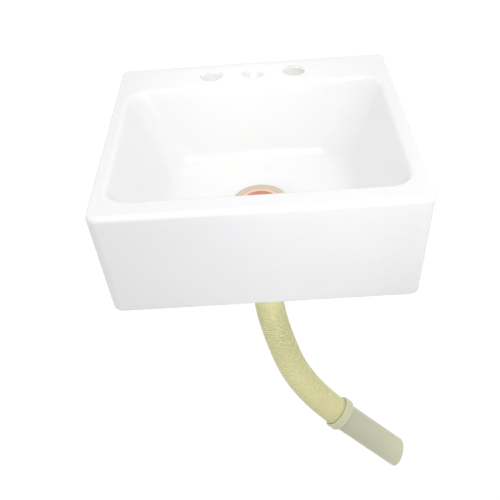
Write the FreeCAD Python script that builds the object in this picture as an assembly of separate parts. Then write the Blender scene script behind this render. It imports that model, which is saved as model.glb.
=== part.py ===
import FreeCAD, Part
import math
import os

from FreeCAD import Vector

# Wall-hung wash basin with a drop-in strainer, a screwed drain and a ribbed waste hose.
# Millimetres. +Z is up, -Y faces the user and the wall is the plane y = 0.
# The origin is the centre of the four wall screw holes in the two hangers.

# Basin outside
BASIN_WIDTH = 330.0
BASIN_DEPTH = 305.0
BASIN_HEIGHT = 127.0
APRON_DRAFT = 3.0
WALL = 4.0
FRONT_CORNER_RADIUS = 12.0
BACK_CORNER_RADIUS = 7.0
RIM_EDGE_RADIUS = 5.0
SKIRT_EDGE_RADIUS = 2.0
HOLLOW_CORNER_RADIUS = 3.0
PANEL_RECESS = 8.0

# Bowl
SIDE_RIM = 15.0
FRONT_RIM = 26.0
DECK_DEPTH = 60.0
BOWL_DEPTH = 84.0
SIDE_SLOPE = 48.0
FRONT_SLOPE = 16.0
BACK_SLOPE = 38.0
BOWL_MOUTH_RADIUS = 22.0
BOWL_FLOOR_RADIUS = 36.0
FLOOR_FILLET = 26.0
LIP_RADIUS = 6.0
DISH_RADIUS = 56.0
SEAT_RADIUS = 36.0

# Tap deck
TAP_SPACING = 50.8
TAP_SETBACK = 32.0
TAP_HOLE_RADIUS = 14.0
CENTRE_SLOT_WIDTH = 8.0
CENTRE_SLOT_LENGTH = 34.0
CENTRE_SLOT_DROP = 6.0

# Wall hangers
HANGER_SPACING = 190.0
HANGER_WIDTH = 30.0
HANGER_HEIGHT = 60.0
HANGER_THICKNESS = 2.5
HANGER_BEND = 0.6
HANGER_CORNER = 5.0
HOOK_LIP = 14.0
HOOK_CLEARANCE = 0.8
HOOK_BELOW_RIM = 34.0
WINDOW_CLEARANCE = 2.0
WINDOW_HEIGHT = 54.0
WALL_SCREW_SPACING = 30.0
WALL_SCREW_RADIUS = 2.75

# Drain body and its clamping pieces
FLANGE_RADIUS = 31.5
FLANGE_THICKNESS = 3.5
FLANGE_CHAMFER = 1.0
BARREL_RADIUS = 24.0
BARREL_BORE = 21.5
BARREL_LENGTH = 46.5
THREAD_PITCH = 3.0
THREAD_DEPTH = 0.9
THREAD_FLANK = 0.9
THREAD_RUNOUT = 6.0
DRAIN_CLEARANCE = 0.4
THREAD_CLEARANCE = 0.06
FLANGE_GASKET_THICKNESS = 1.5
UNDER_GASKET_THICKNESS = 3.5
UNDER_GASKET_WIDTH = 10.6
SLIP_WASHER_THICKNESS = 1.0
SLIP_WASHER_WIDTH = 9.6
LOCKNUT_HEIGHT = 12.0
LOCKNUT_WALL = 7.0
LOCKNUT_LUGS = 6
LOCKNUT_LUG_LENGTH = 6.0
LOCKNUT_LUG_WIDTH = 9.0
LOCKNUT_LUG_ROOT = 2.0

# Strainer
STRAINER_RIM_RADIUS = 23.3
STRAINER_RIM_THICKNESS = 1.5
STRAINER_RIM_DISH = 0.6
STRAINER_RIM_DROP = 0.2
STRAINER_CLEARANCE = 0.3
STRAINER_DEPTH = 25.0
STRAINER_WALL = 1.2
STRAINER_HOLE_RADIUS = 1.6
STRAINER_HOLE_PITCH = 6.0
STRAINER_RING_RADII = (8.5, 12.8, 17.0)
KNOB_HEAD_RADIUS = 6.5
KNOB_HEAD_HEIGHT = 5.0
KNOB_HEAD_FLARE = 1.5
KNOB_TOP_RADIUS = 4.0
KNOB_HEIGHT = 20.0
KNOB_POST_RADIUS = 3.0
KNOB_FOOT_RADIUS = 5.0
KNOB_FOOT_HEIGHT = 1.5
KNOB_STEM_RADIUS = 2.4
KNOB_STEM_CLEARANCE = 0.1
KNOB_STEM_TIP = 1.5
CLIP_RADIUS = 6.0
CLIP_THICKNESS = 1.0

# Hose union
HOSE_SEAL_THICKNESS = 2.5
TAIL_FLANGE_THICKNESS = 3.0
TAIL_FLANGE_CLEARANCE = 0.8
TAIL_LENGTH = 28.0
TAIL_WALL = 1.8
UNION_ENGAGEMENT = 12.0
UNION_WALL = 5.0
UNION_LIP = 3.0
UNION_CHAMFER = 2.0
UNION_RIBS = 18
UNION_RIB_RADIUS = 2.0

# Hose
HOSE_RADIUS = 19.0
HOSE_RIB_DEPTH = 0.7
HOSE_BORE = 15.7
HOSE_RIB_PITCH = 3.0
HOSE_RIB_SHARES = (0.0, 0.35, 0.5, 0.85)
HOSE_FIT = 0.3
ROUNDING = 0.45
# Route of the hose from its top end, as offsets from the middle of the union
HOSE_ROUTE = (
    (0.0, 0.0, 0.0),
    (0.0, 0.0, -70.0),
    (6.0, -12.0, -139.5),
    (39.0, -66.0, -210.0),
    (91.5, -83.0, -252.5),
)

# Hose clamp
CLAMP_DROP = 10.0
CLAMP_WIDTH = 9.0
CLAMP_THICKNESS = 0.8
CLAMP_CLEARANCE = 0.2
CLAMP_HOUSING_LENGTH = 13.0
CLAMP_HOUSING_HEIGHT = 7.0
CLAMP_HOUSING_GAP = 0.05
CLAMP_SCREW_RADIUS = 2.4
CLAMP_SCREW_CLEARANCE = 0.1
CLAMP_HEAD_RADIUS = 4.0
CLAMP_HEAD_LENGTH = 5.0
CLAMP_SLOT_WIDTH = 1.0
CLAMP_SLOT_DEPTH = 1.5
CLAMP_SCREW_TIP = 1.0

# Hose cuff
COLLAR_RADIUS = 22.5
COLLAR_LENGTH = 9.5
COLLAR_SHOULDER = 0.5
COLLAR_CHAMFER = 1.0
CUFF_LENGTH = 103.0
CUFF_RADIUS = 18.5
CUFF_WALL = 1.6
CUFF_CUT_ANGLE = 16.0
CUFF_CUT_TURN = 220.0

# Levels and centres that follow from the sizes above
OVERCUT = 2.0
NEAR = 1e-6
HOOK_Z = HANGER_HEIGHT / 2
RIM_Z = HOOK_Z + HOOK_BELOW_RIM
SKIRT_Z = RIM_Z - BASIN_HEIGHT
FLOOR_Z = RIM_Z - BOWL_DEPTH
DISH_DEPTH = FLANGE_THICKNESS + FLANGE_GASKET_THICKNESS
SEAT_Z = FLOOR_Z - DISH_DEPTH
PANEL_FRONT = -(PANEL_RECESS + WALL)
MOUTH_FRONT = -BASIN_DEPTH + FRONT_RIM
MOUTH_BACK = -DECK_DEPTH
FLOOR_FRONT = MOUTH_FRONT + FRONT_SLOPE
FLOOR_BACK = MOUTH_BACK - BACK_SLOPE
DRAIN = Vector(0, (FLOOR_FRONT + FLOOR_BACK) / 2, 0)
SEAT_UNDER_Z = SEAT_Z - WALL
UNDER_GASKET_Z = SEAT_UNDER_Z - UNDER_GASKET_THICKNESS
SLIP_WASHER_Z = UNDER_GASKET_Z - SLIP_WASHER_THICKNESS
LOCKNUT_Z = SLIP_WASHER_Z - LOCKNUT_HEIGHT
FLANGE_UNDER_Z = FLOOR_Z - FLANGE_THICKNESS
BARREL_END_Z = FLANGE_UNDER_Z - BARREL_LENGTH
HOSE_SEAL_Z = BARREL_END_Z - HOSE_SEAL_THICKNESS
HOSE_TOP_Z = HOSE_SEAL_Z - TAIL_FLANGE_THICKNESS
LOOSE_RADIUS = BARREL_RADIUS + DRAIN_CLEARANCE
NUT_BORE = BARREL_RADIUS + THREAD_CLEARANCE
TAIL_RADIUS = HOSE_BORE - HOSE_FIT
TAIL_BORE = TAIL_RADIUS - TAIL_WALL
TAIL_FLANGE_RADIUS = BARREL_RADIUS - TAIL_FLANGE_CLEARANCE
STRAINER_RADIUS = BARREL_BORE - STRAINER_CLEARANCE
CLIP_BORE = KNOB_STEM_RADIUS + KNOB_STEM_CLEARANCE
STRAINER_TOP_Z = FLOOR_Z - STRAINER_RIM_DROP
STRAINER_SHELF_Z = STRAINER_TOP_Z - STRAINER_RIM_THICKNESS
STRAINER_FLOOR_Z = STRAINER_TOP_Z - STRAINER_DEPTH


def rounded_outline(x_low, x_high, y_low, y_high, z, front_radius, back_radius):
    """Closed outline of four arcs and four lines, from the front right corner round to the left."""
    corners = (
        (x_high - front_radius, y_low + front_radius, -90, front_radius),
        (x_high - back_radius, y_high - back_radius, 0, back_radius),
        (x_low + back_radius, y_high - back_radius, 90, back_radius),
        (x_low + front_radius, y_low + front_radius, 180, front_radius),
    )
    arcs = []
    for x, y, start, radius in corners:
        spots = []
        for turn in (0, 45, 90):
            angle = math.radians(start + turn)
            spots.append(Vector(x + radius * math.cos(angle), y + radius * math.sin(angle), z))
        arcs.append(spots)
    edges = []
    for arc, following in zip(arcs, arcs[1:] + arcs[:1]):
        edges.append(Part.Arc(*arc).toShape())
        edges.append(Part.LineSegment(arc[2], following[0]).toShape())
    return Part.Wire(edges)


def edges_at(shape, z):
    return [e for e in shape.Edges if all(abs(v.Z - z) < NEAR for v in e.Vertexes)]


def ring(profile, centre=DRAIN):
    """Solid turned about the vertical line through centre, from (radius, z) points."""
    points = [Vector(radius, 0, z) for radius, z in profile]
    turned = Part.Face(Part.makePolygon(points + points[:1])).revolve(Vector(), Vector(0, 0, 1), 360)
    turned.translate(Vector(centre.x, centre.y, 0))
    return turned


def washer(inner, outer, z_low, z_high):
    return ring([(inner, z_low), (outer, z_low), (outer, z_high), (inner, z_high)])


def apron_outline(z, inset, back):
    draft = APRON_DRAFT * (RIM_Z - z) / BASIN_HEIGHT + inset
    half = BASIN_WIDTH / 2 - draft
    front = -BASIN_DEPTH + draft
    back_radius = HOLLOW_CORNER_RADIUS if inset else BACK_CORNER_RADIUS
    return rounded_outline(-half, half, front, back, z, FRONT_CORNER_RADIUS - inset, back_radius)


def bowl_outline(z, grow):
    share = (RIM_Z - z) / BOWL_DEPTH
    half = BASIN_WIDTH / 2 - SIDE_RIM - SIDE_SLOPE * share + grow
    front = MOUTH_FRONT + FRONT_SLOPE * share - grow
    back = MOUTH_BACK - BACK_SLOPE * share + grow
    radius = BOWL_MOUTH_RADIUS + (BOWL_FLOOR_RADIUS - BOWL_MOUTH_RADIUS) * share + grow
    return rounded_outline(-half, half, front, back, z, radius, radius)


def bowl_form(grow):
    """Bowl space, or its outside when grown by the wall, with the dished seat of the drain."""
    floor = FLOOR_Z - grow
    form = Part.makeLoft([bowl_outline(floor, grow), bowl_outline(RIM_Z + OVERCUT, grow)], True, True)
    form = form.makeFillet(FLOOR_FILLET + grow, edges_at(form, floor))
    flare = (DISH_RADIUS - SEAT_RADIUS) / DISH_DEPTH
    dish = Part.makeCone(
        SEAT_RADIUS + grow, DISH_RADIUS + grow + flare * OVERCUT, DISH_DEPTH + OVERCUT,
        DRAIN + Vector(0, 0, SEAT_Z - grow),
    )
    return form.fuse(dish)


def block(x_low, x_high, y_low, y_high, z_low, z_high):
    return Part.makeBox(x_high - x_low, y_high - y_low, z_high - z_low, Vector(x_low, y_low, z_low))


def basin_shell():
    body = Part.makeLoft([apron_outline(SKIRT_Z, 0, 0), apron_outline(RIM_Z, 0, 0)], True, True)
    body = body.makeFillet(RIM_EDGE_RADIUS, edges_at(body, RIM_Z))
    body = body.makeFillet(SKIRT_EDGE_RADIUS, edges_at(body, SKIRT_Z))
    low = SKIRT_Z - OVERCUT
    deck_under = RIM_Z - WALL
    hollow = Part.makeLoft(
        [apron_outline(low, WALL, PANEL_FRONT), apron_outline(deck_under, WALL, PANEL_FRONT)], True, True
    )
    body = body.cut(hollow.cut(bowl_form(WALL)))
    recess_half = BASIN_WIDTH / 2 - APRON_DRAFT - WALL
    body = body.cut(block(-recess_half, recess_half, -PANEL_RECESS, OVERCUT, low, deck_under))
    body = body.cut(bowl_form(0))
    mouth_half = BASIN_WIDTH / 2 - SIDE_RIM
    lip = []
    for edge in edges_at(body, RIM_Z):
        middle = edge.CenterOfMass
        if abs(middle.x) < mouth_half + NEAR and MOUTH_FRONT - NEAR < middle.y < MOUTH_BACK + NEAR:
            lip.append(edge)
    body = body.makeFillet(LIP_RADIUS, lip)
    throat = DRAIN + Vector(0, 0, SEAT_UNDER_Z - OVERCUT)
    holes = [Part.makeCylinder(LOOSE_RADIUS, WALL + 2 * OVERCUT, throat)]
    for side in (-1, 0, 1):
        foot = Vector(side * TAP_SPACING, -TAP_SETBACK, deck_under - OVERCUT)
        holes.append(Part.makeCylinder(TAP_HOLE_RADIUS, WALL + 2 * OVERCUT, foot))
    window_half = HANGER_WIDTH / 2 + WINDOW_CLEARANCE
    panel = (PANEL_FRONT - OVERCUT, -PANEL_RECESS + OVERCUT)
    for side in (-1, 1):
        x = side * HANGER_SPACING / 2
        holes.append(block(x - window_half, x + window_half, *panel, HOOK_Z - WINDOW_HEIGHT, HOOK_Z))
    slot_half = CENTRE_SLOT_WIDTH / 2
    slot_top = deck_under - CENTRE_SLOT_DROP
    slot_low = slot_top - CENTRE_SLOT_LENGTH
    holes.append(block(-slot_half, slot_half, *panel, slot_low + slot_half, slot_top - slot_half))
    for z in (slot_low + slot_half, slot_top - slot_half):
        foot = Vector(0, panel[0], z)
        holes.append(Part.makeCylinder(slot_half, panel[1] - panel[0], foot, Vector(0, 1, 0)))
    return body.cut(Part.makeCompound(holes)).removeSplitter()


def hanger(x):
    """Steel strip bent into a wall plate with an upturned hook at its top."""
    lip_back = PANEL_FRONT - HOOK_CLEARANCE
    lip_front = lip_back - HANGER_THICKNESS
    shelf = HOOK_Z - HANGER_THICKNESS
    tip = HOOK_Z + HOOK_LIP
    foot = HOOK_Z - HANGER_HEIGHT
    corners = (
        (0, foot), (0, HOOK_Z), (lip_back, HOOK_Z), (lip_back, tip),
        (lip_front, tip), (lip_front, shelf), (-HANGER_THICKNESS, shelf), (-HANGER_THICKNESS, foot),
    )
    points = [Vector(x - HANGER_WIDTH / 2, y, z) for y, z in corners]
    strip = Part.Face(Part.makePolygon(points + points[:1])).extrude(Vector(HANGER_WIDTH, 0, 0))
    outer_bend = HANGER_BEND + HANGER_THICKNESS
    bends = {
        (0, HOOK_Z): outer_bend, (lip_front, shelf): outer_bend,
        (lip_back, HOOK_Z): HANGER_BEND, (-HANGER_THICKNESS, shelf): HANGER_BEND,
    }
    for (y, z), radius in bends.items():
        bend = [e for e in strip.Edges if all(abs(v.Y - y) + abs(v.Z - z) < NEAR for v in e.Vertexes)]
        strip = strip.makeFillet(radius, bend)
    ends = []
    for edge in strip.Edges:
        first, last = edge.Vertexes[0], edge.Vertexes[-1]
        across = abs(abs(first.Y - last.Y) - HANGER_THICKNESS) < NEAR
        level = abs(first.Z - last.Z) < NEAR
        at_end = abs(first.Z - tip) < NEAR or abs(first.Z - foot) < NEAR
        if across and level and at_end:
            ends.append(edge)
    strip = strip.makeFillet(HANGER_CORNER, ends)
    for side in (-1, 1):
        screw = Vector(x, OVERCUT, side * WALL_SCREW_SPACING / 2)
        reach = HANGER_THICKNESS + 2 * OVERCUT
        strip = strip.cut(Part.makeCylinder(WALL_SCREW_RADIUS, reach, screw, Vector(0, -1, 0)))
    return strip


def drain_body():
    shelf = STRAINER_SHELF_Z
    pocket = STRAINER_RIM_RADIUS + STRAINER_CLEARANCE
    profile = [
        (BARREL_BORE, BARREL_END_Z), (BARREL_BORE, shelf), (pocket, shelf), (pocket, FLOOR_Z),
        (FLANGE_RADIUS - FLANGE_CHAMFER, FLOOR_Z), (FLANGE_RADIUS, FLOOR_Z - FLANGE_CHAMFER),
        (FLANGE_RADIUS, FLANGE_UNDER_Z), (BARREL_RADIUS, FLANGE_UNDER_Z),
    ]
    root = BARREL_RADIUS - THREAD_DEPTH
    turns = int((BARREL_LENGTH - THREAD_RUNOUT) // THREAD_PITCH)
    for turn in range(turns):
        z = FLANGE_UNDER_Z - THREAD_RUNOUT - turn * THREAD_PITCH
        profile.append((BARREL_RADIUS, z))
        profile.append((root, z - THREAD_FLANK))
        profile.append((BARREL_RADIUS, z - 2 * THREAD_FLANK))
    profile.append((BARREL_RADIUS, BARREL_END_Z))
    return ring(profile)


def drain_locknut():
    top = SLIP_WASHER_Z
    outer = NUT_BORE + LOCKNUT_WALL
    nut = washer(NUT_BORE, outer, LOCKNUT_Z, top)
    for lug in range(LOCKNUT_LUGS):
        tab = block(
            outer - LOCKNUT_LUG_ROOT, outer + LOCKNUT_LUG_LENGTH,
            -LOCKNUT_LUG_WIDTH / 2, LOCKNUT_LUG_WIDTH / 2, LOCKNUT_Z, top,
        )
        tab.rotate(Vector(), Vector(0, 0, 1), lug * 360 / LOCKNUT_LUGS)
        tab.translate(DRAIN)
        nut = nut.fuse(tab)
    return nut.removeSplitter()


def strainer_basket():
    inner = STRAINER_RADIUS - STRAINER_WALL
    floor_top = STRAINER_FLOOR_Z + STRAINER_WALL
    basket = ring([
        (0, STRAINER_FLOOR_Z), (STRAINER_RADIUS, STRAINER_FLOOR_Z), (STRAINER_RADIUS, STRAINER_SHELF_Z),
        (STRAINER_RIM_RADIUS, STRAINER_SHELF_Z), (STRAINER_RIM_RADIUS, STRAINER_TOP_Z),
        (inner, STRAINER_TOP_Z - STRAINER_RIM_DISH), (inner, floor_top), (0, floor_top),
    ])
    depth = STRAINER_WALL + 2 * OVERCUT
    foot = DRAIN + Vector(0, 0, STRAINER_FLOOR_Z - OVERCUT)
    holes = [Part.makeCylinder(CLIP_BORE, depth, foot)]
    for radius in STRAINER_RING_RADII:
        count = int(2 * math.pi * radius // STRAINER_HOLE_PITCH)
        for index in range(count):
            angle = 2 * math.pi * index / count
            spot = foot + Vector(radius * math.cos(angle), radius * math.sin(angle), 0)
            holes.append(Part.makeCylinder(STRAINER_HOLE_RADIUS, depth, spot))
    return basket.cut(Part.makeCompound(holes))


def strainer_knob():
    seat = STRAINER_FLOOR_Z + STRAINER_WALL
    top = seat + KNOB_HEIGHT
    head = top - KNOB_HEAD_HEIGHT
    tip = STRAINER_FLOOR_Z - CLIP_THICKNESS - KNOB_STEM_TIP
    return ring([
        (0, tip), (KNOB_STEM_RADIUS, tip), (KNOB_STEM_RADIUS, seat), (KNOB_FOOT_RADIUS, seat),
        (KNOB_FOOT_RADIUS, seat + KNOB_FOOT_HEIGHT), (KNOB_POST_RADIUS, seat + 2 * KNOB_FOOT_HEIGHT),
        (KNOB_POST_RADIUS, head), (KNOB_HEAD_RADIUS, head + KNOB_HEAD_FLARE),
        (KNOB_HEAD_RADIUS, top - KNOB_HEAD_FLARE), (KNOB_TOP_RADIUS, top), (0, top),
    ])


def hose_tail():
    return ring([
        (TAIL_BORE, HOSE_TOP_Z - TAIL_LENGTH), (TAIL_RADIUS, HOSE_TOP_Z - TAIL_LENGTH),
        (TAIL_RADIUS, HOSE_TOP_Z), (TAIL_FLANGE_RADIUS, HOSE_TOP_Z), (TAIL_FLANGE_RADIUS, HOSE_SEAL_Z),
        (TAIL_BORE, HOSE_SEAL_Z),
    ])


def union_nut():
    low = HOSE_TOP_Z - UNION_LIP
    top = BARREL_END_Z + UNION_ENGAGEMENT
    outer = NUT_BORE + UNION_WALL
    mouth = HOSE_RADIUS + 2 * HOSE_FIT
    nut = ring([
        (mouth, low), (outer - UNION_CHAMFER, low), (outer, low + UNION_CHAMFER), (outer, top),
        (NUT_BORE, top), (NUT_BORE, HOSE_TOP_Z), (mouth, HOSE_TOP_Z),
    ])
    for rib in range(UNION_RIBS):
        angle = 2 * math.pi * rib / UNION_RIBS
        foot = DRAIN + Vector(outer * math.cos(angle), outer * math.sin(angle), low + UNION_CHAMFER)
        nut = nut.fuse(Part.makeCylinder(UNION_RIB_RADIUS, top - foot.z, foot))
    return nut.removeSplitter()


def hose_points():
    top = DRAIN + Vector(0, 0, HOSE_TOP_Z)
    return [top + Vector(*offset) for offset in HOSE_ROUTE]


def hose_path():
    """Straight runs joined by tangent arcs along the route."""
    points = hose_points()
    edges = []
    start = points[0]
    for before, corner, after in zip(points, points[1:], points[2:]):
        back = before - corner
        ahead = after - corner
        reach = ROUNDING * min(back.Length, ahead.Length)
        turn = math.pi - back.getAngle(ahead)
        radius = reach / math.tan(turn / 2)
        back.normalize()
        ahead.normalize()
        enter = corner + back * reach
        leave = corner + ahead * reach
        middle = back + ahead
        middle.normalize()
        inside = corner + middle * (radius / math.cos(turn / 2) - radius)
        edges.append(Part.LineSegment(start, enter).toShape())
        edges.append(Part.Arc(enter, inside, leave).toShape())
        start = leave
        print("hose bend radius", round(radius, 1), "turn", round(math.degrees(turn), 1))
    edges.append(Part.LineSegment(start, points[-1]).toShape())
    return edges


def hose_section(edges, reach, radius):
    """Circle of the given radius square to the path, with its X axis held steady."""
    for edge in edges:
        if reach <= edge.Length or edge is edges[-1]:
            break
        reach -= edge.Length
    place = edge.getParameterByLength(min(reach, edge.Length))
    along = edge.tangentAt(place)
    last = edges[-1].tangentAt(edges[-1].FirstParameter)
    steady = last.cross(Vector(0, 0, 1))
    across = along.cross(steady)
    circle = Part.Circle(Vector(), Vector(0, 0, 1), radius).toShape()
    turn = FreeCAD.Rotation(across.cross(along), across, along, "ZXY")
    circle.Placement = FreeCAD.Placement(edge.valueAt(place), turn)
    return Part.Wire([circle])


def drain_hose():
    edges = hose_path()
    length = sum(edge.Length for edge in edges)
    ribs = round(length / HOSE_RIB_PITCH)
    pitch = length / ribs
    outside = []
    inside = []
    root = HOSE_RADIUS - HOSE_RIB_DEPTH
    steps = list(zip(HOSE_RIB_SHARES, (root, root, HOSE_RADIUS, HOSE_RADIUS)))
    for rib in range(ribs):
        for share, radius in steps:
            outside.append(hose_section(edges, (rib + share) * pitch, radius))
        inside.append(hose_section(edges, rib * pitch, HOSE_BORE))
    outside.append(hose_section(edges, length, root))
    inside.append(hose_section(edges, length, HOSE_BORE))
    hose = Part.makeLoft(outside, True, True).cut(Part.makeLoft(inside, True, True))
    section = -HOSE_BORE ** 2
    for (share, radius), (next_share, next_radius) in zip(steps, steps[1:] + [(1.0, root)]):
        section += (next_share - share) * (radius ** 2 + radius * next_radius + next_radius ** 2) / 3
    print("hose length", round(length, 1), "ribs", ribs)
    print("hose volume", round(hose.Volume), "section times length", round(math.pi * section * length))
    return hose


def clamp_band():
    inner = HOSE_RADIUS + CLAMP_CLEARANCE
    top = HOSE_TOP_Z - CLAMP_DROP
    return washer(inner, inner + CLAMP_THICKNESS, top - CLAMP_WIDTH, top)


def clamp_screw_axis():
    reach = HOSE_RADIUS + CLAMP_CLEARANCE + CLAMP_THICKNESS + CLAMP_HOUSING_HEIGHT / 2
    middle = HOSE_TOP_Z - CLAMP_DROP - CLAMP_WIDTH / 2
    return DRAIN + Vector(0, reach, middle)


def clamp_housing():
    axis = clamp_screw_axis()
    half = CLAMP_HOUSING_LENGTH / 2
    rise = CLAMP_HOUSING_HEIGHT / 2
    width = CLAMP_WIDTH / 2
    # The foot of the block wraps down to the band on both sides of the tangent line
    foot = axis.y - 2 * rise
    housing = block(-half, half, foot, axis.y + rise, axis.z - width, axis.z + width)
    band = HOSE_RADIUS + CLAMP_CLEARANCE + CLAMP_THICKNESS + CLAMP_HOUSING_GAP
    housing = housing.cut(Part.makeCylinder(band, 2 * CLAMP_WIDTH, Vector(0, DRAIN.y, axis.z - CLAMP_WIDTH)))
    hole = CLAMP_SCREW_RADIUS + CLAMP_SCREW_CLEARANCE
    start = axis - Vector(half + OVERCUT, 0, 0)
    return housing.cut(Part.makeCylinder(hole, CLAMP_HOUSING_LENGTH + 2 * OVERCUT, start, Vector(1, 0, 0)))


def clamp_screw():
    axis = clamp_screw_axis()
    half = CLAMP_HOUSING_LENGTH / 2
    along = Vector(1, 0, 0)
    start = axis - along * (half + CLAMP_SCREW_TIP)
    shaft = Part.makeCylinder(CLAMP_SCREW_RADIUS, CLAMP_HOUSING_LENGTH + CLAMP_SCREW_TIP, start, along)
    corners = []
    for side in range(7):
        angle = math.radians(60 * side)
        corners.append(
            axis + Vector(half, CLAMP_HEAD_RADIUS * math.cos(angle), CLAMP_HEAD_RADIUS * math.sin(angle))
        )
    head = Part.Face(Part.makePolygon(corners)).extrude(along * CLAMP_HEAD_LENGTH)
    tip = axis.x + half + CLAMP_HEAD_LENGTH
    slot = block(
        tip - CLAMP_SLOT_DEPTH, tip + OVERCUT, axis.y - CLAMP_SLOT_WIDTH / 2, axis.y + CLAMP_SLOT_WIDTH / 2,
        axis.z - CLAMP_HEAD_RADIUS - OVERCUT, axis.z + CLAMP_HEAD_RADIUS + OVERCUT,
    )
    return shaft.fuse(head.cut(slot))


def hose_cuff():
    """Sleeve turned upright with the hose end at z = 0, then laid along the last run of the hose."""
    bore = CUFF_RADIUS - CUFF_WALL
    socket = HOSE_RADIUS + HOSE_FIT
    shoulder = COLLAR_RADIUS - CUFF_RADIUS + COLLAR_SHOULDER
    cuff = ring([
        (socket, -COLLAR_LENGTH), (COLLAR_RADIUS - COLLAR_CHAMFER, -COLLAR_LENGTH),
        (COLLAR_RADIUS, COLLAR_CHAMFER - COLLAR_LENGTH),
        (COLLAR_RADIUS, COLLAR_SHOULDER), (CUFF_RADIUS, shoulder), (CUFF_RADIUS, CUFF_LENGTH),
        (bore, CUFF_LENGTH), (bore, 0), (socket, 0),
    ], Vector())
    # The open end is cut on a slant, shortest on the side that faces up and back
    reach = 2 * CUFF_RADIUS
    slant = block(-reach, reach, -reach, reach, 0, reach)
    facing = math.radians(CUFF_CUT_TURN)
    slant.rotate(Vector(), Vector(-math.sin(facing), math.cos(facing), 0), CUFF_CUT_ANGLE)
    drop = CUFF_RADIUS * math.tan(math.radians(CUFF_CUT_ANGLE))
    slant.translate(Vector(0, 0, CUFF_LENGTH - drop))
    cuff = cuff.cut(slant)
    before, end = hose_points()[-2:]
    along = end - before
    across = along.cross(Vector(0, 0, 1))
    turn = FreeCAD.Rotation(across, along.cross(across), along, "ZXY")
    cuff.Placement = FreeCAD.Placement(end, turn)
    along.normalize()
    print("cuff axis", [round(value, 4) for value in along], "end", [round(value, 2) for value in end])
    return cuff


def assembly():
    return {
        "basin_shell": basin_shell(),
        "hanger_left": hanger(-HANGER_SPACING / 2),
        "hanger_right": hanger(HANGER_SPACING / 2),
        "drain_body": drain_body(),
        "flange_gasket": washer(LOOSE_RADIUS, FLANGE_RADIUS, SEAT_Z, FLANGE_UNDER_Z),
        "under_gasket": washer(LOOSE_RADIUS, LOOSE_RADIUS + UNDER_GASKET_WIDTH, UNDER_GASKET_Z, SEAT_UNDER_Z),
        "slip_washer": washer(LOOSE_RADIUS, LOOSE_RADIUS + SLIP_WASHER_WIDTH, SLIP_WASHER_Z, UNDER_GASKET_Z),
        "drain_locknut": drain_locknut(),
        "strainer_basket": strainer_basket(),
        "strainer_knob": strainer_knob(),
        "knob_clip": washer(CLIP_BORE, CLIP_RADIUS, STRAINER_FLOOR_Z - CLIP_THICKNESS, STRAINER_FLOOR_Z),
        "hose_seal": washer(TAIL_BORE, TAIL_FLANGE_RADIUS, HOSE_SEAL_Z, BARREL_END_Z),
        "hose_tail": hose_tail(),
        "union_nut": union_nut(),
        "drain_hose": drain_hose(),
        "clamp_band": clamp_band(),
        "clamp_housing": clamp_housing(),
        "clamp_screw": clamp_screw(),
        "hose_cuff": hose_cuff(),
    }


os.makedirs("parts", exist_ok=True)
for node, shape in assembly().items():
    print(node, "solids", len(shape.Solids), "valid", shape.isValid(), "volume", round(shape.Volume))
    shape.exportStep("parts/" + node + ".step")
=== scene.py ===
import math

import bmesh
import bpy
from mathutils import Matrix, Quaternion, Vector


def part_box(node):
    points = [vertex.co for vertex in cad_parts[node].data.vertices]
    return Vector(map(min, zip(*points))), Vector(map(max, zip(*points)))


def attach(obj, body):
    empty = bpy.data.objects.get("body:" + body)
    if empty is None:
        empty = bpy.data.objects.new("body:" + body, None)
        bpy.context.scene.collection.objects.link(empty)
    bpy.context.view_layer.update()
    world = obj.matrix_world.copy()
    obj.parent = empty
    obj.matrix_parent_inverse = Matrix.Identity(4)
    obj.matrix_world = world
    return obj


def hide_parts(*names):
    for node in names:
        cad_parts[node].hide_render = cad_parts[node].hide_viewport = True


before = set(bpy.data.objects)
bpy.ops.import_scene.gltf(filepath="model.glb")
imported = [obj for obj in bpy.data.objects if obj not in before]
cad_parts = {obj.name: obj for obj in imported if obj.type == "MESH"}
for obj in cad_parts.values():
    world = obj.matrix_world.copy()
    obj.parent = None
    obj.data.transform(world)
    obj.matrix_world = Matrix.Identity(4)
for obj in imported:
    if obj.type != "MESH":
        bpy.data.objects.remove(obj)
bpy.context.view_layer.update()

# Wall-hung wash basin with a screwed drain, a lift-out strainer and a ribbed waste hose.
# Metres, in the frame of the solids: +Z is up, -Y faces the user and the wall is the plane y = 0.

# Camera: place in metres, angles in degrees, lens and sensor in millimetres
CAMERA_PLACE = (0.00633, -0.78693, 0.43932)
CAMERA_HEADING = 2.146
CAMERA_TILT = 48.675
CAMERA_ROLL = -4.922
CAMERA_LENS = 47.706
CAMERA_SENSOR = 36.0

# Studio: floor and sky levels, and lamps with their spread in degrees and power in watts
FLOOR_LEVEL = -0.80
FLOOR_REACH = 6.0
FLOOR_SHADE = 0.58
FLOOR_GLOW = 0.56
SKY_BRIGHT_SIDE = (0.25, -0.50, 0.83)
SKY_BRIGHT = 0.885
SKY_DIM = 0.705
LAMPS = {
    "key": {
        "place": (0.14, -0.60, 0.75), "target": (0.0, -0.15, -0.05), "size": 0.35, "spread": 180.0,
        "power": 2.0,
    },
    "front": {
        "place": (0.36, -0.88, 0.06), "target": (0.04, -0.305, 0.10), "size": 0.10, "spread": 42.0,
        "power": 0.085,
    },
    "hose": {
        "place": (0.12, -0.70, -0.36), "target": (0.02, -0.21, -0.15), "size": 0.10, "spread": 25.0,
        "power": 0.028,
    },
    "under": {
        "place": (-0.15, -0.14, -0.50), "target": (-0.01, -0.02, 0.05), "size": 0.12, "spread": 30.0,
        "power": 0.085,
    },
}

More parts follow.
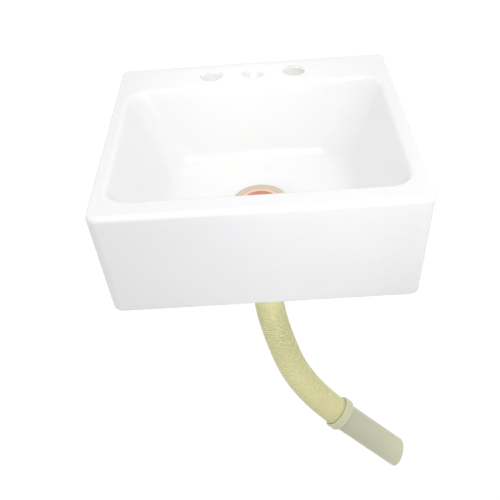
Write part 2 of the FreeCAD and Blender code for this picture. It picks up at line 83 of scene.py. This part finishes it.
# Hose, as offsets from its top end in the union
HOSE_ROUTE = (
    (0.0, 0.0, 0.0),
    (0.0, 0.0, -0.070),
    (0.006, -0.012, -0.1395),
    (0.039, -0.066, -0.210),
    (0.0915, -0.083, -0.2525),
)
HOSE_RADIUS = 0.019
HOSE_RIB_DEPTH = 0.0007
HOSE_BORE = 0.0157
HOSE_RIB_PITCH = 0.003
# Rings of one rib: share of the pitch, and share of the rib's depth
HOSE_RIB_STEPS = ((0.0, 0.0), (0.30, 0.0), (0.42, 0.55), (0.54, 1.0), (0.80, 1.0), (0.90, 0.55))
HOSE_SIDES = 40
HOSE_LINE_RESOLUTION = 40
HOSE_LINE_STEPS = 160

# Cuff
COLLAR_RADIUS = 0.0225
COLLAR_LENGTH = 0.0095
COLLAR_SHOULDER = 0.0005
COLLAR_CHAMFER = 0.001
CUFF_SOCKET = 0.0193
CUFF_RADIUS = 0.0185
CUFF_WALL = 0.0016
CUFF_LENGTH = 0.103
CUFF_CUT_ANGLE = 16.0
CUFF_CUT_TURN = 220.0
CUFF_EDGE = 0.0005

# Drain
THREAD_PITCH = 0.003
THREAD_DEPTH = 0.0009
THREAD_RUNOUT = 0.006
# Ridge of the thread: pitches below the neck, and share of the thread's depth above its root
THREAD_RIDGE = ((0.50, -0.5), (0.77, 1.0), (0.90, 1.0), (1.17, -0.5))
BARREL_RADIUS = 0.024
BARREL_BORE = 0.0215
FLANGE_RADIUS = 0.0315
FLANGE_THICKNESS = 0.0035
POCKET_RADIUS = 0.0236
POCKET_DEPTH = 0.0017
DRAIN_EDGE = 0.0005

# Nuts and clamp
NUT_BORE = 0.02406
LOCKNUT_WALL = 0.007
LOCKNUT_LUGS = 6
LOCKNUT_LUG_LENGTH = 0.006
LOCKNUT_LUG_WIDTH = 0.009
LOCKNUT_EDGE = 0.0009
UNION_WALL = 0.005
UNION_MOUTH = 0.0196
UNION_LIP = 0.003
UNION_CHAMFER = 0.002
UNION_RIBS = 18
UNION_RIB_RADIUS = 0.002
UNION_RIB_SIDES = 16
UNION_EDGE = 0.0005
CLAMP_THICKNESS = 0.0008
CLAMP_CLEARANCE = 0.0002
CLAMP_SLOTS = 44
CLAMP_SLOT_MARGIN = 0.0003
CLAMP_SLOT_SHARE = 0.62
CLAMP_SLOT_DEPTH = 0.0004
CLAMP_SLOT_DRAFT = 0.0001

# Meshes
TURN_SIDES = 96
SHARP = math.radians(30)
ROUND_STEPS = 3
TOUCH = 1e-6

# Plastics: clean colour and the film over it, how much film and how many specks, roughness,
# height of the moulding ripple and of the grain, depth of both in metres, milkiness, and a painted shade
# colour for the valleys between ribs
PLASTICS = {
    "basin_white": {
        "clean": (0.92, 0.92, 0.915), "film": (0.91, 0.91, 0.90), "amount": 0.4, "specks": 0.0,
        "gloss": 0.15, "ripple": 1.0, "grain": 0.006, "depth": 0.0004, "milky": 0.5,
    },
    "hose_cream": {
        "clean": (0.85, 0.81, 0.42), "film": (0.77, 0.73, 0.41), "amount": 0.45, "specks": 0.2,
        "gloss": 0.36, "ripple": 0.5, "grain": 0.1, "depth": 0.0003, "milky": 0.6,
        # Painted shade: a darker, deeper yellow for the valleys between the ribs
        "groove_shade": (0.84, 0.79, 0.37),
    },
    "cuff_milky": {
        "clean": (0.72, 0.72, 0.48), "film": (0.66, 0.66, 0.45), "amount": 0.5, "specks": 0.15,
        "gloss": 0.30, "ripple": 0.6, "grain": 0.05, "depth": 0.0003, "milky": 0.6,
    },
    "drain_ivory": {
        "clean": (0.66, 0.58, 0.45), "film": (0.58, 0.50, 0.38), "amount": 0.5, "specks": 0.3,
        "gloss": 0.28, "ripple": 0.4, "grain": 0.05, "depth": 0.0003,
    },
    "nut_white": {
        "clean": (0.84, 0.84, 0.82), "film": (0.76, 0.75, 0.72), "amount": 0.5, "specks": 0.3,
        "gloss": 0.32, "ripple": 0.4, "grain": 0.1, "depth": 0.0003,
    },
    "seal_black": {
        "clean": (0.035, 0.035, 0.035), "film": (0.08, 0.08, 0.078), "amount": 0.7, "specks": 0.4,
        "gloss": 0.55, "ripple": 0.3, "grain": 0.2, "depth": 0.0003,
    },
}
# Metals: colour of the lines and of the ground between them, depth of the lines, and how bare it is
METALS = {
    "strainer_copper": {
        "light": (0.95, 0.64, 0.49), "dark": (0.91, 0.57, 0.43), "depth": 0.0001, "bare": 0.25,
    },
    "zinc_steel": {"light": (0.72, 0.73, 0.74), "dark": (0.50, 0.51, 0.53), "depth": 0.0002, "bare": 1.0},
}
# Finish of each material slot of the solids
SLOT_FINISHES = {
    "basin_white": "basin_white", "drain_plastic": "drain_ivory", "washer_plastic": "nut_white",
    "seal_rubber": "seal_black", "strainer_copper": "strainer_copper", "hanger_steel": "zinc_steel",
    "clamp_steel": "zinc_steel", "hose_cream": "hose_cream", "cuff_translucent": "cuff_milky",
}
# Milky plastic: how far light goes in, and the share of that for red, green and blue
MILKY_REACH = 0.012
MILKY_TINT = (1.0, 1.0, 0.8)
# Moulded skin
RIPPLE_SCALE = 9.0
RIPPLE_DETAIL = 1.0
GRAIN_SCALE = 1400.0
GRAIN_DETAIL = 2.0
SKIN_STRENGTH = 0.35
# Dust film, with where it starts and is full, and how much it dulls
FILM_SCALE = 18.0
SPECK_SCALE = 310.0
FILM_DETAIL = 2.0
FILM_EDGES = (0.25, 0.80)
FILM_DULLS = 0.3
# Drawn metal
METAL_DETAIL = 3.0
METAL_LINE_SCALE = 220.0
METAL_LINE_STRETCH = (1.0, 1.0, 0.06)
METAL_CLOUD_SCALE = 60.0
METAL_GLOSS = 0.22
METAL_GLOSS_SPREAD = 0.25
METAL_LINE_STRENGTH = 0.3

drain_low, drain_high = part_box("drain_body")
DRAIN = Vector(((drain_low[0] + drain_high[0]) / 2, (drain_low[1] + drain_high[1]) / 2, 0.0))
HOSE_TOP = Vector((DRAIN.x, DRAIN.y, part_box("drain_hose")[1][2]))
HOSE_ROOT = HOSE_RADIUS - HOSE_RIB_DEPTH


def made_verts(result):
    return [item for item in result["geom"] if isinstance(item, bmesh.types.BMVert)]


def made_edges(result):
    return [item for item in result["geom"] if isinstance(item, bmesh.types.BMEdge)]


def close_up(bm):
    """Merges doubles and turns every face outwards."""
    bmesh.ops.remove_doubles(bm, verts=bm.verts, dist=TOUCH)
    bmesh.ops.recalc_face_normals(bm, faces=bm.faces)


def turned(profile, sides=TURN_SIDES):
    """Solid turned about the vertical axis from a closed outline of (radius, height) points."""
    bm = bmesh.new()
    verts = [bm.verts.new((radius, 0.0, height)) for radius, height in profile]
    edges = [bm.edges.new(pair) for pair in zip(verts, verts[1:] + verts[:1])]
    bmesh.ops.spin(
        bm, geom=verts + edges, cent=(0, 0, 0), axis=(0, 0, 1), angle=math.tau, steps=sides, use_merge=True
    )
    close_up(bm)
    return bm


def add_block(bm, low, high, turn):
    """Box between two corners, turned about the vertical axis."""
    size = Vector(high) - Vector(low)
    middle = (Vector(high) + Vector(low)) / 2
    place = Matrix.Rotation(turn, 4, "Z") @ Matrix.Translation(middle) @ Matrix.Diagonal((*size, 1.0))
    bmesh.ops.create_cube(bm, size=1.0, matrix=place)


def soften(bm, width):
    """Rounds every sharp edge."""
    sharp = [edge for edge in bm.edges if len(edge.link_faces) == 2 and edge.calc_face_angle() > SHARP]
    bmesh.ops.bevel(
        bm, geom=sharp, offset=width, segments=ROUND_STEPS, profile=0.5, affect="EDGES", material=-1,
        clamp_overlap=True,
    )


def piece_from(name, bm, body, node, finish, place=None):
    """Object that stands for a solid, with its mesh in place and its finish on it."""
    if place is not None:
        bmesh.ops.transform(bm, matrix=place, verts=bm.verts)
    mesh = bpy.data.meshes.new(name)
    bm.to_mesh(mesh)
    bm.free()
    mesh.polygons.foreach_set("use_smooth", [True] * len(mesh.polygons))
    mesh.materials.append(finishes[finish])
    piece = bpy.data.objects.new(name, mesh)
    bpy.context.scene.collection.objects.link(piece)
    shading = piece.modifiers.new("even_shading", "WEIGHTED_NORMAL")
    shading.keep_sharp = True
    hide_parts(node)
    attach(piece, body)
    return piece


# Hose and cuff


def hose_line():
    """Points along the middle of the hose, read from its spline."""
    curve = bpy.data.curves.new("hose_line", "CURVE")
    curve.dimensions = "3D"
    curve.resolution_u = HOSE_LINE_RESOLUTION
    spline = curve.splines.new("NURBS")
    spline.points.add(len(HOSE_ROUTE) - 1)
    for point, offset in zip(spline.points, HOSE_ROUTE):
        point.co = (*(HOSE_TOP + Vector(offset)), 1.0)
    spline.order_u = 3
    spline.use_endpoint_u = True
    holder = bpy.data.objects.new("hose_line", curve)
    line = bpy.data.meshes.new_from_object(holder)
    points = [vert.co.copy() for vert in line.vertices]
    bpy.data.meshes.remove(line)
    bpy.data.objects.remove(holder)
    bpy.data.curves.remove(curve)
    return points


class HoseLine:
    """Places along the middle of the hose, each with a turn that carries no twist."""

    def __init__(self, points):
        self.points = points
        self.reaches = [0.0]
        self.turns = []
        ahead = Vector((0, 0, 1))
        turn = Quaternion()
        for here, following in zip(points, points[1:]):
            step = following - here
            self.reaches.append(self.reaches[-1] + step.length)
            step.normalize()
            turn = ahead.rotation_difference(step) @ turn
            self.turns.append(turn.copy())
            ahead = step
        self.length = self.reaches[-1]

    def at(self, reach):
        last = len(self.turns) - 1
        index = 0
        while index < last and self.reaches[index + 1] < reach:
            index += 1
        share = (reach - self.reaches[index]) / (self.reaches[index + 1] - self.reaches[index])
        place = self.points[index].lerp(self.points[index + 1], share)
        turn = self.turns[index].slerp(self.turns[min(index + 1, last)], share)
        return Matrix.Translation(place) @ turn.to_matrix().to_4x4()


def ribbed_hose(line):
    """Tube drawn ring by ring: ribs outside on the way down, the plain bore on the way back."""
    ribs = round(line.length / HOSE_RIB_PITCH)
    pitch = line.length / ribs
    rings = []
    for rib in range(ribs):
        for share, rise in HOSE_RIB_STEPS:
            rings.append((pitch * (rib + share), HOSE_ROOT + rise * HOSE_RIB_DEPTH, rise))
    rings.append((line.length, HOSE_ROOT, 0.0))
    for rib in range(ribs, -1, -1):
        rings.append((pitch * rib, HOSE_BORE, 0.0))
    bm = bmesh.new()
    # Share of the rib's height at each ring; the hose finish uses it to paint shade into the valleys
    crest = bm.verts.layers.float.new("crest")
    reach, radius, _ = rings[0]
    place = line.at(reach) @ Matrix.Diagonal((radius, radius, 1.0, 1.0))
    bmesh.ops.create_circle(bm, segments=HOSE_SIDES, radius=1.0, matrix=place)
    first = list(bm.edges)
    edges = first
    for reach, radius, rise in rings[1:]:
        following = line.at(reach) @ Matrix.Diagonal((radius, radius, 1.0, 1.0))
        drawn = bmesh.ops.extrude_edge_only(bm, edges=edges)
        verts = set(made_verts(drawn))
        edges = [edge for edge in made_edges(drawn) if verts.issuperset(edge.verts)]
        bmesh.ops.transform(bm, matrix=following @ place.inverted(), verts=list(verts))
        for vert in verts:
            vert[crest] = rise
        place = following
    bmesh.ops.bridge_loops(bm, edges=first + edges)
    close_up(bm)
    return bm


def hose_cuff():
    """Collar and sleeve turned upright with the hose end at height 0, open end cut on a slant."""
    bore = CUFF_RADIUS - CUFF_WALL
    shoulder = COLLAR_RADIUS - CUFF_RADIUS + COLLAR_SHOULDER
    bm = turned([
        (CUFF_SOCKET, -COLLAR_LENGTH), (COLLAR_RADIUS - COLLAR_CHAMFER, -COLLAR_LENGTH),
        (COLLAR_RADIUS, COLLAR_CHAMFER - COLLAR_LENGTH), (COLLAR_RADIUS, COLLAR_SHOULDER),
        (CUFF_RADIUS, shoulder), (CUFF_RADIUS, CUFF_LENGTH), (bore, CUFF_LENGTH), (bore, 0.0),
        (CUFF_SOCKET, 0.0),
    ])
    soften(bm, CUFF_EDGE)
    facing = math.radians(CUFF_CUT_TURN)
    lean = math.radians(CUFF_CUT_ANGLE)
    across = math.sin(lean)
    normal = Vector((across * math.cos(facing), across * math.sin(facing), math.cos(lean)))
    middle = Vector((0, 0, CUFF_LENGTH - CUFF_RADIUS * math.tan(lean)))
    cut = bmesh.ops.bisect_plane(
        bm, geom=bm.verts[:] + bm.edges[:] + bm.faces[:], plane_co=middle, plane_no=normal, clear_outer=True
    )
    rim = [item for item in cut["geom_cut"] if isinstance(item, bmesh.types.BMEdge)]
    bmesh.ops.bridge_loops(bm, edges=rim)
    close_up(bm)
    return bm


def cuff_place():
    """Where the upright cuff goes: along the last run of the hose, turned as its solid is."""
    before, end = (HOSE_TOP + Vector(offset) for offset in HOSE_ROUTE[-2:])
    along = (end - before).normalized()
    across = along.cross((0, 0, 1)).normalized()
    turn = Matrix((across, along.cross(across), along)).transposed()
    return Matrix.Translation(end) @ turn.to_4x4()


# Drain, nuts and clamp


def drain_body():
    """Flange with its strainer pocket, plain barrel and a raised thread wound round it."""
    low, high = drain_low[2], drain_high[2]
    under = high - FLANGE_THICKNESS
    root = BARREL_RADIUS - THREAD_DEPTH
    neck = under - THREAD_RUNOUT
    bm = turned([
        (BARREL_BORE, low), (BARREL_BORE, high - POCKET_DEPTH), (POCKET_RADIUS, high - POCKET_DEPTH),
        (POCKET_RADIUS, high), (FLANGE_RADIUS, high), (FLANGE_RADIUS, under), (BARREL_RADIUS, under),
        (BARREL_RADIUS, neck), (root, neck - THREAD_DEPTH), (root, low),
    ])
    soften(bm, DRAIN_EDGE)
    turns = int((neck - low) / THREAD_PITCH) - 1
    steps = TURN_SIDES // 2
    ridge = []
    for drop, rise in THREAD_RIDGE:
        ridge.append(bm.verts.new((root + rise * THREAD_DEPTH, 0, neck - drop * THREAD_PITCH)))
    edges = [bm.edges.new(pair) for pair in zip(ridge, ridge[1:])]
    bmesh.ops.spin(
        bm, geom=ridge + edges, cent=(0, 0, 0), axis=(0, 0, 1), dvec=(0, 0, -THREAD_PITCH / steps),
        angle=math.tau * turns, steps=steps * turns,
    )
    bmesh.ops.recalc_face_normals(bm, faces=bm.faces)
    return bm


def locknut():
    """Ring with lugs for a wrench round it."""
    low, high = (corner[2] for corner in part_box("drain_locknut"))
    outer = NUT_BORE + LOCKNUT_WALL
    bm = turned([(NUT_BORE, low), (outer, low), (outer, high), (NUT_BORE, high)])
    half = LOCKNUT_LUG_WIDTH / 2
    for lug in range(LOCKNUT_LUGS):
        add_block(
            bm, (outer - LOCKNUT_WALL / 2, -half, low), (outer + LOCKNUT_LUG_LENGTH, half, high),
            math.tau * lug / LOCKNUT_LUGS,
        )
    soften(bm, LOCKNUT_EDGE)
    return bm


def union_nut():
    """Ring with an inner lip below and grip ribs round it."""
    low, high = (corner[2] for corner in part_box("union_nut"))
    outer = NUT_BORE + UNION_WALL
    bm = turned([
        (UNION_MOUTH, low), (outer - UNION_CHAMFER, low), (outer, low + UNION_CHAMFER), (outer, high),
        (NUT_BORE, high), (NUT_BORE, low + UNION_LIP), (UNION_MOUTH, low + UNION_LIP),
    ])
    height = high - low - UNION_CHAMFER
    for rib in range(UNION_RIBS):
        turn = Matrix.Rotation(math.tau * rib / UNION_RIBS, 4, "Z")
        bmesh.ops.create_cone(
            bm, cap_ends=True, segments=UNION_RIB_SIDES, radius1=UNION_RIB_RADIUS, radius2=UNION_RIB_RADIUS,
            depth=height, matrix=turn @ Matrix.Translation((outer, 0, high - height / 2)),
        )
    soften(bm, UNION_EDGE)
    return bm


def clamp_band():
    """Thin steel band with a row of pressed slots for the worm screw."""
    low, high = (corner[2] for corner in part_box("clamp_band"))
    inner = HOSE_RADIUS + CLAMP_CLEARANCE
    outer = inner + CLAMP_THICKNESS
    bm = turned([(inner, low), (outer, low), (outer, high), (inner, high)], 2 * CLAMP_SLOTS)
    wall = [face for face in bm.faces if face.calc_center_median().xy.length > outer - CLAMP_THICKNESS / 4]
    wall.sort(key=lambda face: math.atan2(*face.calc_center_median().yx))
    slots = wall[::2]
    bmesh.ops.inset_individual(bm, faces=slots, thickness=CLAMP_SLOT_MARGIN, depth=0.0)
    at_middle = Matrix.Translation((0, 0, -(low + high) / 2))
    for face in slots:
        bmesh.ops.scale(bm, verts=face.verts, vec=(1, 1, CLAMP_SLOT_SHARE), space=at_middle)
    bmesh.ops.inset_individual(bm, faces=slots, thickness=CLAMP_SLOT_DRAFT, depth=-CLAMP_SLOT_DEPTH)
    return bm


# Finishes


def node_tree(name, inputs, outputs):
    """Empty shader group with named sockets: (name, kind, value) in and (name, kind) out."""
    tree = bpy.data.node_groups.new(name, "ShaderNodeTree")
    for label, kind, value in inputs:
        socket = tree.interface.new_socket(label, in_out="INPUT", socket_type=kind)
        socket.default_value = value
    for label, kind in outputs:
        tree.interface.new_socket(label, in_out="OUTPUT", socket_type=kind)
    return tree, tree.nodes.new("NodeGroupInput"), tree.nodes.new("NodeGroupOutput")


def noise(tree, scale, detail, stretch=None):
    """Noise on the piece's own coordinates, drawn out along an axis where stretch is given."""
    place = tree.nodes.new("ShaderNodeTexCoord").outputs["Object"]
    if stretch:
        mapping = tree.nodes.new("ShaderNodeMapping")
        mapping.inputs["Scale"].default_value = stretch
        tree.links.new(place, mapping.inputs["Vector"])
        place = mapping.outputs["Vector"]
    texture = tree.nodes.new("ShaderNodeTexNoise")
    texture.inputs["Scale"].default_value = scale
    texture.inputs["Detail"].default_value = detail
    tree.links.new(place, texture.inputs["Vector"])
    return texture.outputs["Fac"]


def math_node(tree, operation, first, second):
    """Result of two values, each a socket or a number."""
    node = tree.nodes.new("ShaderNodeMath")
    node.operation = operation
    for socket, value in zip(node.inputs, (first, second)):
        if isinstance(value, (int, float)):
            socket.default_value = value
        else:
            tree.links.new(value, socket)
    return node.outputs["Value"]


def colour_mix(tree, share, first, second):
    """Mix of two colours, each a socket or three numbers."""
    node = tree.nodes.new("ShaderNodeMix")
    node.data_type = "RGBA"
    tree.links.new(share, node.inputs["Factor"])
    for label, value in (("A", first), ("B", second)):
        if isinstance(value, tuple):
            node.inputs[label].default_value = (*value, 1.0)
        else:
            tree.links.new(value, node.inputs[label])
    return node.outputs["Result"]


def moulded_skin_group():
    """Slow ripple of a moulded wall with a fine grain on it."""
    tree, entry, leave = node_tree(
        "moulded_skin", [("Ripple", "NodeSocketFloat", 1.0), ("Grain", "NodeSocketFloat", 0.1)],
        [("Height", "NodeSocketFloat")],
    )
    ripple = math_node(tree, "MULTIPLY", noise(tree, RIPPLE_SCALE, RIPPLE_DETAIL), entry.outputs["Ripple"])
    grain = math_node(tree, "MULTIPLY", noise(tree, GRAIN_SCALE, GRAIN_DETAIL), entry.outputs["Grain"])
    tree.links.new(math_node(tree, "ADD", ripple, grain), leave.inputs["Height"])
    return tree


def dust_film_group():
    """Thin uneven film that dulls a clean colour in patches."""
    tree, entry, leave = node_tree(
        "dust_film",
        [
            ("Clean", "NodeSocketColor", (1, 1, 1, 1)), ("Film", "NodeSocketColor", (1, 1, 1, 1)),
            ("Amount", "NodeSocketFloat", 0.5), ("Specks", "NodeSocketFloat", 0.2),
            ("Gloss", "NodeSocketFloat", 0.2),
        ],
        [("Color", "NodeSocketColor"), ("Roughness", "NodeSocketFloat")],
    )
    mixed = tree.nodes.new("ShaderNodeMix")
    tree.links.new(entry.outputs["Specks"], mixed.inputs["Factor"])
    tree.links.new(noise(tree, FILM_SCALE, FILM_DETAIL), mixed.inputs["A"])
    tree.links.new(noise(tree, SPECK_SCALE, FILM_DETAIL), mixed.inputs["B"])
    ramp = tree.nodes.new("ShaderNodeMapRange")
    ramp.interpolation_type = "SMOOTHSTEP"
    thin, thick = FILM_EDGES
    ramp.inputs["From Min"].default_value = thin
    ramp.inputs["From Max"].default_value = thick
    tree.links.new(mixed.outputs["Result"], ramp.inputs["Value"])
    share = math_node(tree, "MULTIPLY", ramp.outputs["Result"], entry.outputs["Amount"])
    dusty = colour_mix(tree, share, entry.outputs["Clean"], entry.outputs["Film"])
    tree.links.new(dusty, leave.inputs["Color"])
    dulled = math_node(tree, "MULTIPLY", share, FILM_DULLS)
    tree.links.new(math_node(tree, "ADD", entry.outputs["Gloss"], dulled), leave.inputs["Roughness"])
    return tree


def drawn_metal_group():
    """Fine lines of drawn or rolled sheet, with tone and height."""
    tree, entry, leave = node_tree(
        "drawn_metal",
        [("Light", "NodeSocketColor", (1, 1, 1, 1)), ("Dark", "NodeSocketColor", (0, 0, 0, 1))],
        [("Color", "NodeSocketColor"), ("Roughness", "NodeSocketFloat"), ("Height", "NodeSocketFloat")],
    )
    lines = noise(tree, METAL_LINE_SCALE, METAL_DETAIL, METAL_LINE_STRETCH)
    cloud = noise(tree, METAL_CLOUD_SCALE, METAL_DETAIL)
    share = math_node(tree, "MULTIPLY", lines, cloud)
    toned = colour_mix(tree, share, entry.outputs["Light"], entry.outputs["Dark"])
    tree.links.new(toned, leave.inputs["Color"])
    spread = math_node(tree, "MULTIPLY", cloud, METAL_GLOSS_SPREAD)
    tree.links.new(math_node(tree, "ADD", spread, METAL_GLOSS), leave.inputs["Roughness"])
    tree.links.new(lines, leave.inputs["Height"])
    return tree


def placed_group(tree, group, values):
    """Group placed in a material with its own values on its sockets."""
    node = tree.nodes.new("ShaderNodeGroup")
    node.node_tree = group
    for label, value in values.items():
        node.inputs[label].default_value = (*value, 1.0) if isinstance(value, tuple) else value
    return node


def bump(tree, shader, height, strength, distance):
    """Height of a pattern, felt by the light on the surface."""
    node = tree.nodes.new("ShaderNodeBump")
    node.inputs["Strength"].default_value = strength
    node.inputs["Distance"].default_value = distance
    tree.links.new(height, node.inputs["Height"])
    tree.links.new(node.outputs["Normal"], shader.inputs["Normal"])


def new_finish(name):
    """New material, with its tree and its shader."""
    material = bpy.data.materials.new(name)
    material.use_nodes = True
    tree = material.node_tree
    return material, tree, tree.nodes["Principled BSDF"]


def plastic(name, clean, film, amount, specks, gloss, ripple, grain, depth, milky=0.0, groove_shade=None):
    """Moulded plastic under a dust film, milky where asked, and with painted shade in the valleys between
    ribs where a valley shade colour is given.
    """
    material, tree, shader = new_finish(name)
    dusty = placed_group(
        tree, dust_film, {"Clean": clean, "Film": film, "Amount": amount, "Specks": specks, "Gloss": gloss}
    )
    # Painted shade: the valleys between ribs get the darker shade colour, the crests keep the clean colour
    if groove_shade:
        crest = tree.nodes.new("ShaderNodeAttribute")
        crest.attribute_name = "crest"
        tree.links.new(colour_mix(tree, crest.outputs["Fac"], groove_shade, clean), dusty.inputs["Clean"])
    tree.links.new(dusty.outputs["Color"], shader.inputs["Base Color"])
    tree.links.new(dusty.outputs["Roughness"], shader.inputs["Roughness"])
    skin = placed_group(tree, moulded_skin, {"Ripple": ripple, "Grain": grain})
    bump(tree, shader, skin.outputs["Height"], SKIN_STRENGTH, depth)
    shader.inputs["Subsurface Weight"].default_value = milky
    shader.inputs["Subsurface Radius"].default_value = MILKY_TINT
    shader.inputs["Subsurface Scale"].default_value = MILKY_REACH
    return material


def metal(name, light, dark, depth, bare):
    """Drawn or rolled sheet metal, bare or under a toned coat."""
    material, tree, shader = new_finish(name)
    drawn = placed_group(tree, drawn_metal, {"Light": light, "Dark": dark})
    tree.links.new(drawn.outputs["Color"], shader.inputs["Base Color"])
    tree.links.new(drawn.outputs["Roughness"], shader.inputs["Roughness"])
    bump(tree, shader, drawn.outputs["Height"], METAL_LINE_STRENGTH, depth)
    shader.inputs["Metallic"].default_value = bare
    return material


# Stage


def area_lamp(name, place, target, size, spread, power):
    """Square lamp that shines at its target and is not seen itself."""
    lamp = bpy.data.lights.new(name, "AREA")
    lamp.shape = "SQUARE"
    lamp.size = size
    lamp.spread = math.radians(spread)
    lamp.energy = power
    holder = bpy.data.objects.new(name, lamp)
    bpy.context.scene.collection.objects.link(holder)
    holder.visible_camera = False
    holder.location = place
    holder.rotation_euler = (Vector(target) - Vector(place)).to_track_quat("-Z", "Y").to_euler()


def seen_directly(tree):
    """1 for rays from the camera, mirrors and clear pieces, 0 for light that falls on the object."""
    path = tree.nodes.new("ShaderNodeLightPath")
    mirrored = math_node(tree, "MAXIMUM", path.outputs["Is Glossy Ray"], path.outputs["Is Transmission Ray"])
    return math_node(tree, "MAXIMUM", path.outputs["Is Camera Ray"], mirrored)


def build_studio():
    """Even sky, a little brighter in front, that looks plain white, and the lamps."""
    scene = bpy.context.scene
    scene.view_settings.view_transform = "Standard"
    world = bpy.data.worlds.new("studio")
    scene.world = world
    world.use_nodes = True
    tree = world.node_tree
    background = tree.nodes["Background"]
    background.inputs["Color"].default_value = (1, 1, 1, 1)
    facing = tree.nodes.new("ShaderNodeVectorMath")
    facing.operation = "DOT_PRODUCT"
    facing.inputs[1].default_value = SKY_BRIGHT_SIDE
    tree.links.new(tree.nodes.new("ShaderNodeTexCoord").outputs["Generated"], facing.inputs[0])
    sky = tree.nodes.new("ShaderNodeMapRange")
    sky.inputs["From Min"].default_value = -1.0
    sky.inputs["To Min"].default_value = SKY_DIM
    sky.inputs["To Max"].default_value = SKY_BRIGHT
    tree.links.new(facing.outputs["Value"], sky.inputs["Value"])
    level = tree.nodes.new("ShaderNodeMix")
    level.inputs["B"].default_value = 1.0
    tree.links.new(seen_directly(tree), level.inputs["Factor"])
    tree.links.new(sky.outputs["Result"], level.inputs["A"])
    tree.links.new(level.outputs["Result"], background.inputs["Strength"])
    for name, lamp in LAMPS.items():
        area_lamp(name, **lamp)


def build_floor():
    """Pale floor below, which looks white and takes the shadow."""
    bm = bmesh.new()
    bmesh.ops.create_grid(
        bm, x_segments=1, y_segments=1, size=FLOOR_REACH, matrix=Matrix.Translation((0, 0, FLOOR_LEVEL))
    )
    mesh = bpy.data.meshes.new("floor")
    bm.to_mesh(mesh)
    bm.free()
    floor = bpy.data.objects.new("floor", mesh)
    bpy.context.scene.collection.objects.link(floor)
    material, tree, shader = new_finish("pale_floor")
    shader.inputs["Base Color"].default_value = (FLOOR_SHADE, FLOOR_SHADE, FLOOR_SHADE, 1)
    shader.inputs["Roughness"].default_value = 1.0
    shader.inputs["Specular IOR Level"].default_value = 0.0
    shader.inputs["Emission Color"].default_value = (1, 1, 1, 1)
    glow = math_node(tree, "MULTIPLY", seen_directly(tree), FLOOR_GLOW)
    tree.links.new(glow, shader.inputs["Emission Strength"])
    mesh.materials.append(material)


def build_camera():
    """Camera in front of the basin and above it."""
    camera = bpy.data.cameras.new("camera")
    camera.lens = CAMERA_LENS
    camera.sensor_width = CAMERA_SENSOR
    holder = bpy.data.objects.new("camera", camera)
    bpy.context.scene.collection.objects.link(holder)
    holder.matrix_world = (
        Matrix.Translation(CAMERA_PLACE)
        @ Matrix.Rotation(math.radians(CAMERA_HEADING), 4, "Z")
        @ Matrix.Rotation(math.radians(CAMERA_TILT), 4, "X")
        @ Matrix.Rotation(math.radians(CAMERA_ROLL), 4, "Z")
    )
    bpy.context.scene.camera = holder


moulded_skin = moulded_skin_group()
dust_film = dust_film_group()
drawn_metal = drawn_metal_group()
finishes = {}
for name, look in PLASTICS.items():
    finishes[name] = plastic(name, **look)
for name, look in METALS.items():
    finishes[name] = metal(name, **look)
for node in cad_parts.values():
    for spot in node.material_slots:
        spot.material = finishes[SLOT_FINISHES[spot.material.name]]

# Pieces round the drain's axis: name, shape, body, solid that it stands for, slot and finish
DRAIN_PIECES = (
    ("drain_body_threaded", drain_body, "basin", "drain_body", "drain_plastic", "drain_ivory"),
    ("drain_locknut_lugged", locknut, "locknut", "drain_locknut", "drain_plastic", "nut_white"),
    ("union_nut_ribbed", union_nut, "union_nut", "union_nut", "drain_plastic", "nut_white"),
    ("clamp_band_slotted", clamp_band, "hose", "clamp_band", "clamp_steel", "zinc_steel"),
)
for name, shape, body, node, slot, finish in DRAIN_PIECES:
    piece_from(name, shape(), body, node, finish, Matrix.Translation(DRAIN))
cuff = piece_from(
    "hose_cuff_moulded", hose_cuff(), "cuff", "hose_cuff", "cuff_milky", cuff_place()
)
line = HoseLine(hose_line())
hose = piece_from("drain_hose_ribbed", ribbed_hose(line), "hose", "drain_hose", "hose_cream")
[line.at(line.length * step / HOSE_LINE_STEPS).translation for step in range(HOSE_LINE_STEPS + 1)]

build_studio()
build_floor()
build_camera()
